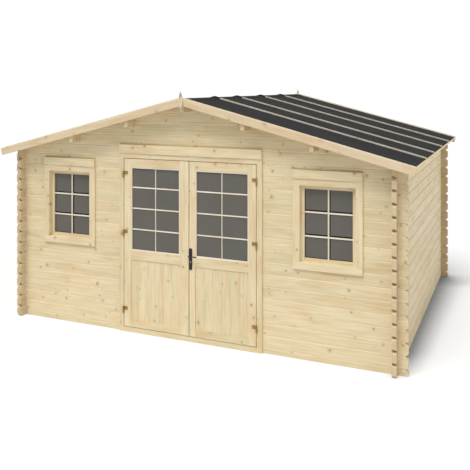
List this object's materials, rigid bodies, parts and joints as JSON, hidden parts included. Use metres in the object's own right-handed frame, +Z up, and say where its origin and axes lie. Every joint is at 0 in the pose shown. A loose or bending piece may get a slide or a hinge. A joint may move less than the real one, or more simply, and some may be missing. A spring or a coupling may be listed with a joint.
{
  "type": "log cabin",
  "caption": "Square-log garden cabin with notched corners, a low felted gable roof, half-glazed double doors with a lever handle and a small-paned window on each side.",
  "frame": {"origin": "on the ground, in the middle of the plan", "axes": "+X along the front to the right, +Y from the front to the back, +Z up"},
  "size_m": [4.63, 3.892, 2.5675],
  "materials": {
    "log_wood": "untreated planed spruce",
    "joinery_wood": "untreated planed spruce",
    "roof_wood": "untreated planed spruce",
    "felt": "matt mineral felt",
    "pane": "clear glass before a dark room",
    "brass": "dull brass plating",
    "black_metal": "satin black"
  },
  "bodies": {
    "cabin": {"front_wall_left": "log_wood", "front_wall_right": "log_wood", "front_gable": "log_wood", "rear_wall": "log_wood", "rear_gable": "log_wood", "left_wall": "log_wood", "right_wall": "log_wood", "floor_bearers": "roof_wood", "floor_boards": "roof_wood", "door_jambs": "joinery_wood", "door_head": "joinery_wood", "door_threshold": "joinery_wood", "door_header": "joinery_wood", "left_window_frame": "joinery_wood", "left_window_header": "joinery_wood", "left_window_sash": "joinery_wood", "left_window_pane": "pane", "right_window_frame": "joinery_wood", "right_window_header": "joinery_wood", "right_window_sash": "joinery_wood", "right_window_pane": "pane", "ridge_purlin": "roof_wood", "left_purlins": "roof_wood", "right_purlins": "roof_wood", "left_roof_boards": "roof_wood", "right_roof_boards": "roof_wood", "left_felt": "felt", "right_felt": "felt", "ridge_felt": "felt", "left_battens": "roof_wood", "right_battens": "roof_wood", "front_bargeboards": "joinery_wood", "rear_bargeboards": "joinery_wood", "finials": "joinery_wood", "eave_strips": "joinery_wood", "hinge_pins": "brass"},
    "left_leaf": {"left_leaf_frame": "joinery_wood", "left_leaf_panel": "joinery_wood", "left_leaf_pane": "pane", "left_leaf_hinges": "brass"},
    "right_leaf": {"right_leaf_frame": "joinery_wood", "right_leaf_panel": "joinery_wood", "right_leaf_pane": "pane", "right_leaf_hinges": "brass", "handle_plates": "black_metal"},
    "lever": {"lever_handle": "black_metal"}
  },
  "joints": [
    {"name": "left_door_swing", "type": "hinge", "parent": "cabin", "child": "left_leaf", "pos_m": [-0.764, -1.796, 0], "axis": [0, 0, -1], "range_deg": [0, 150]},
    {"name": "right_door_swing", "type": "hinge", "parent": "cabin", "child": "right_leaf", "pos_m": [0.764, -1.796, 0], "axis": [0, 0, 1], "range_deg": [0, 150]},
    {"name": "lever_turn", "type": "hinge", "parent": "right_leaf", "child": "lever", "pos_m": [0.039, -1.765, 0.886], "axis": [0, 1, 0], "range_deg": [0, 40], "stiffness_Nm_per_rad": 1.2, "springref_deg": -17.19}
  ]
}
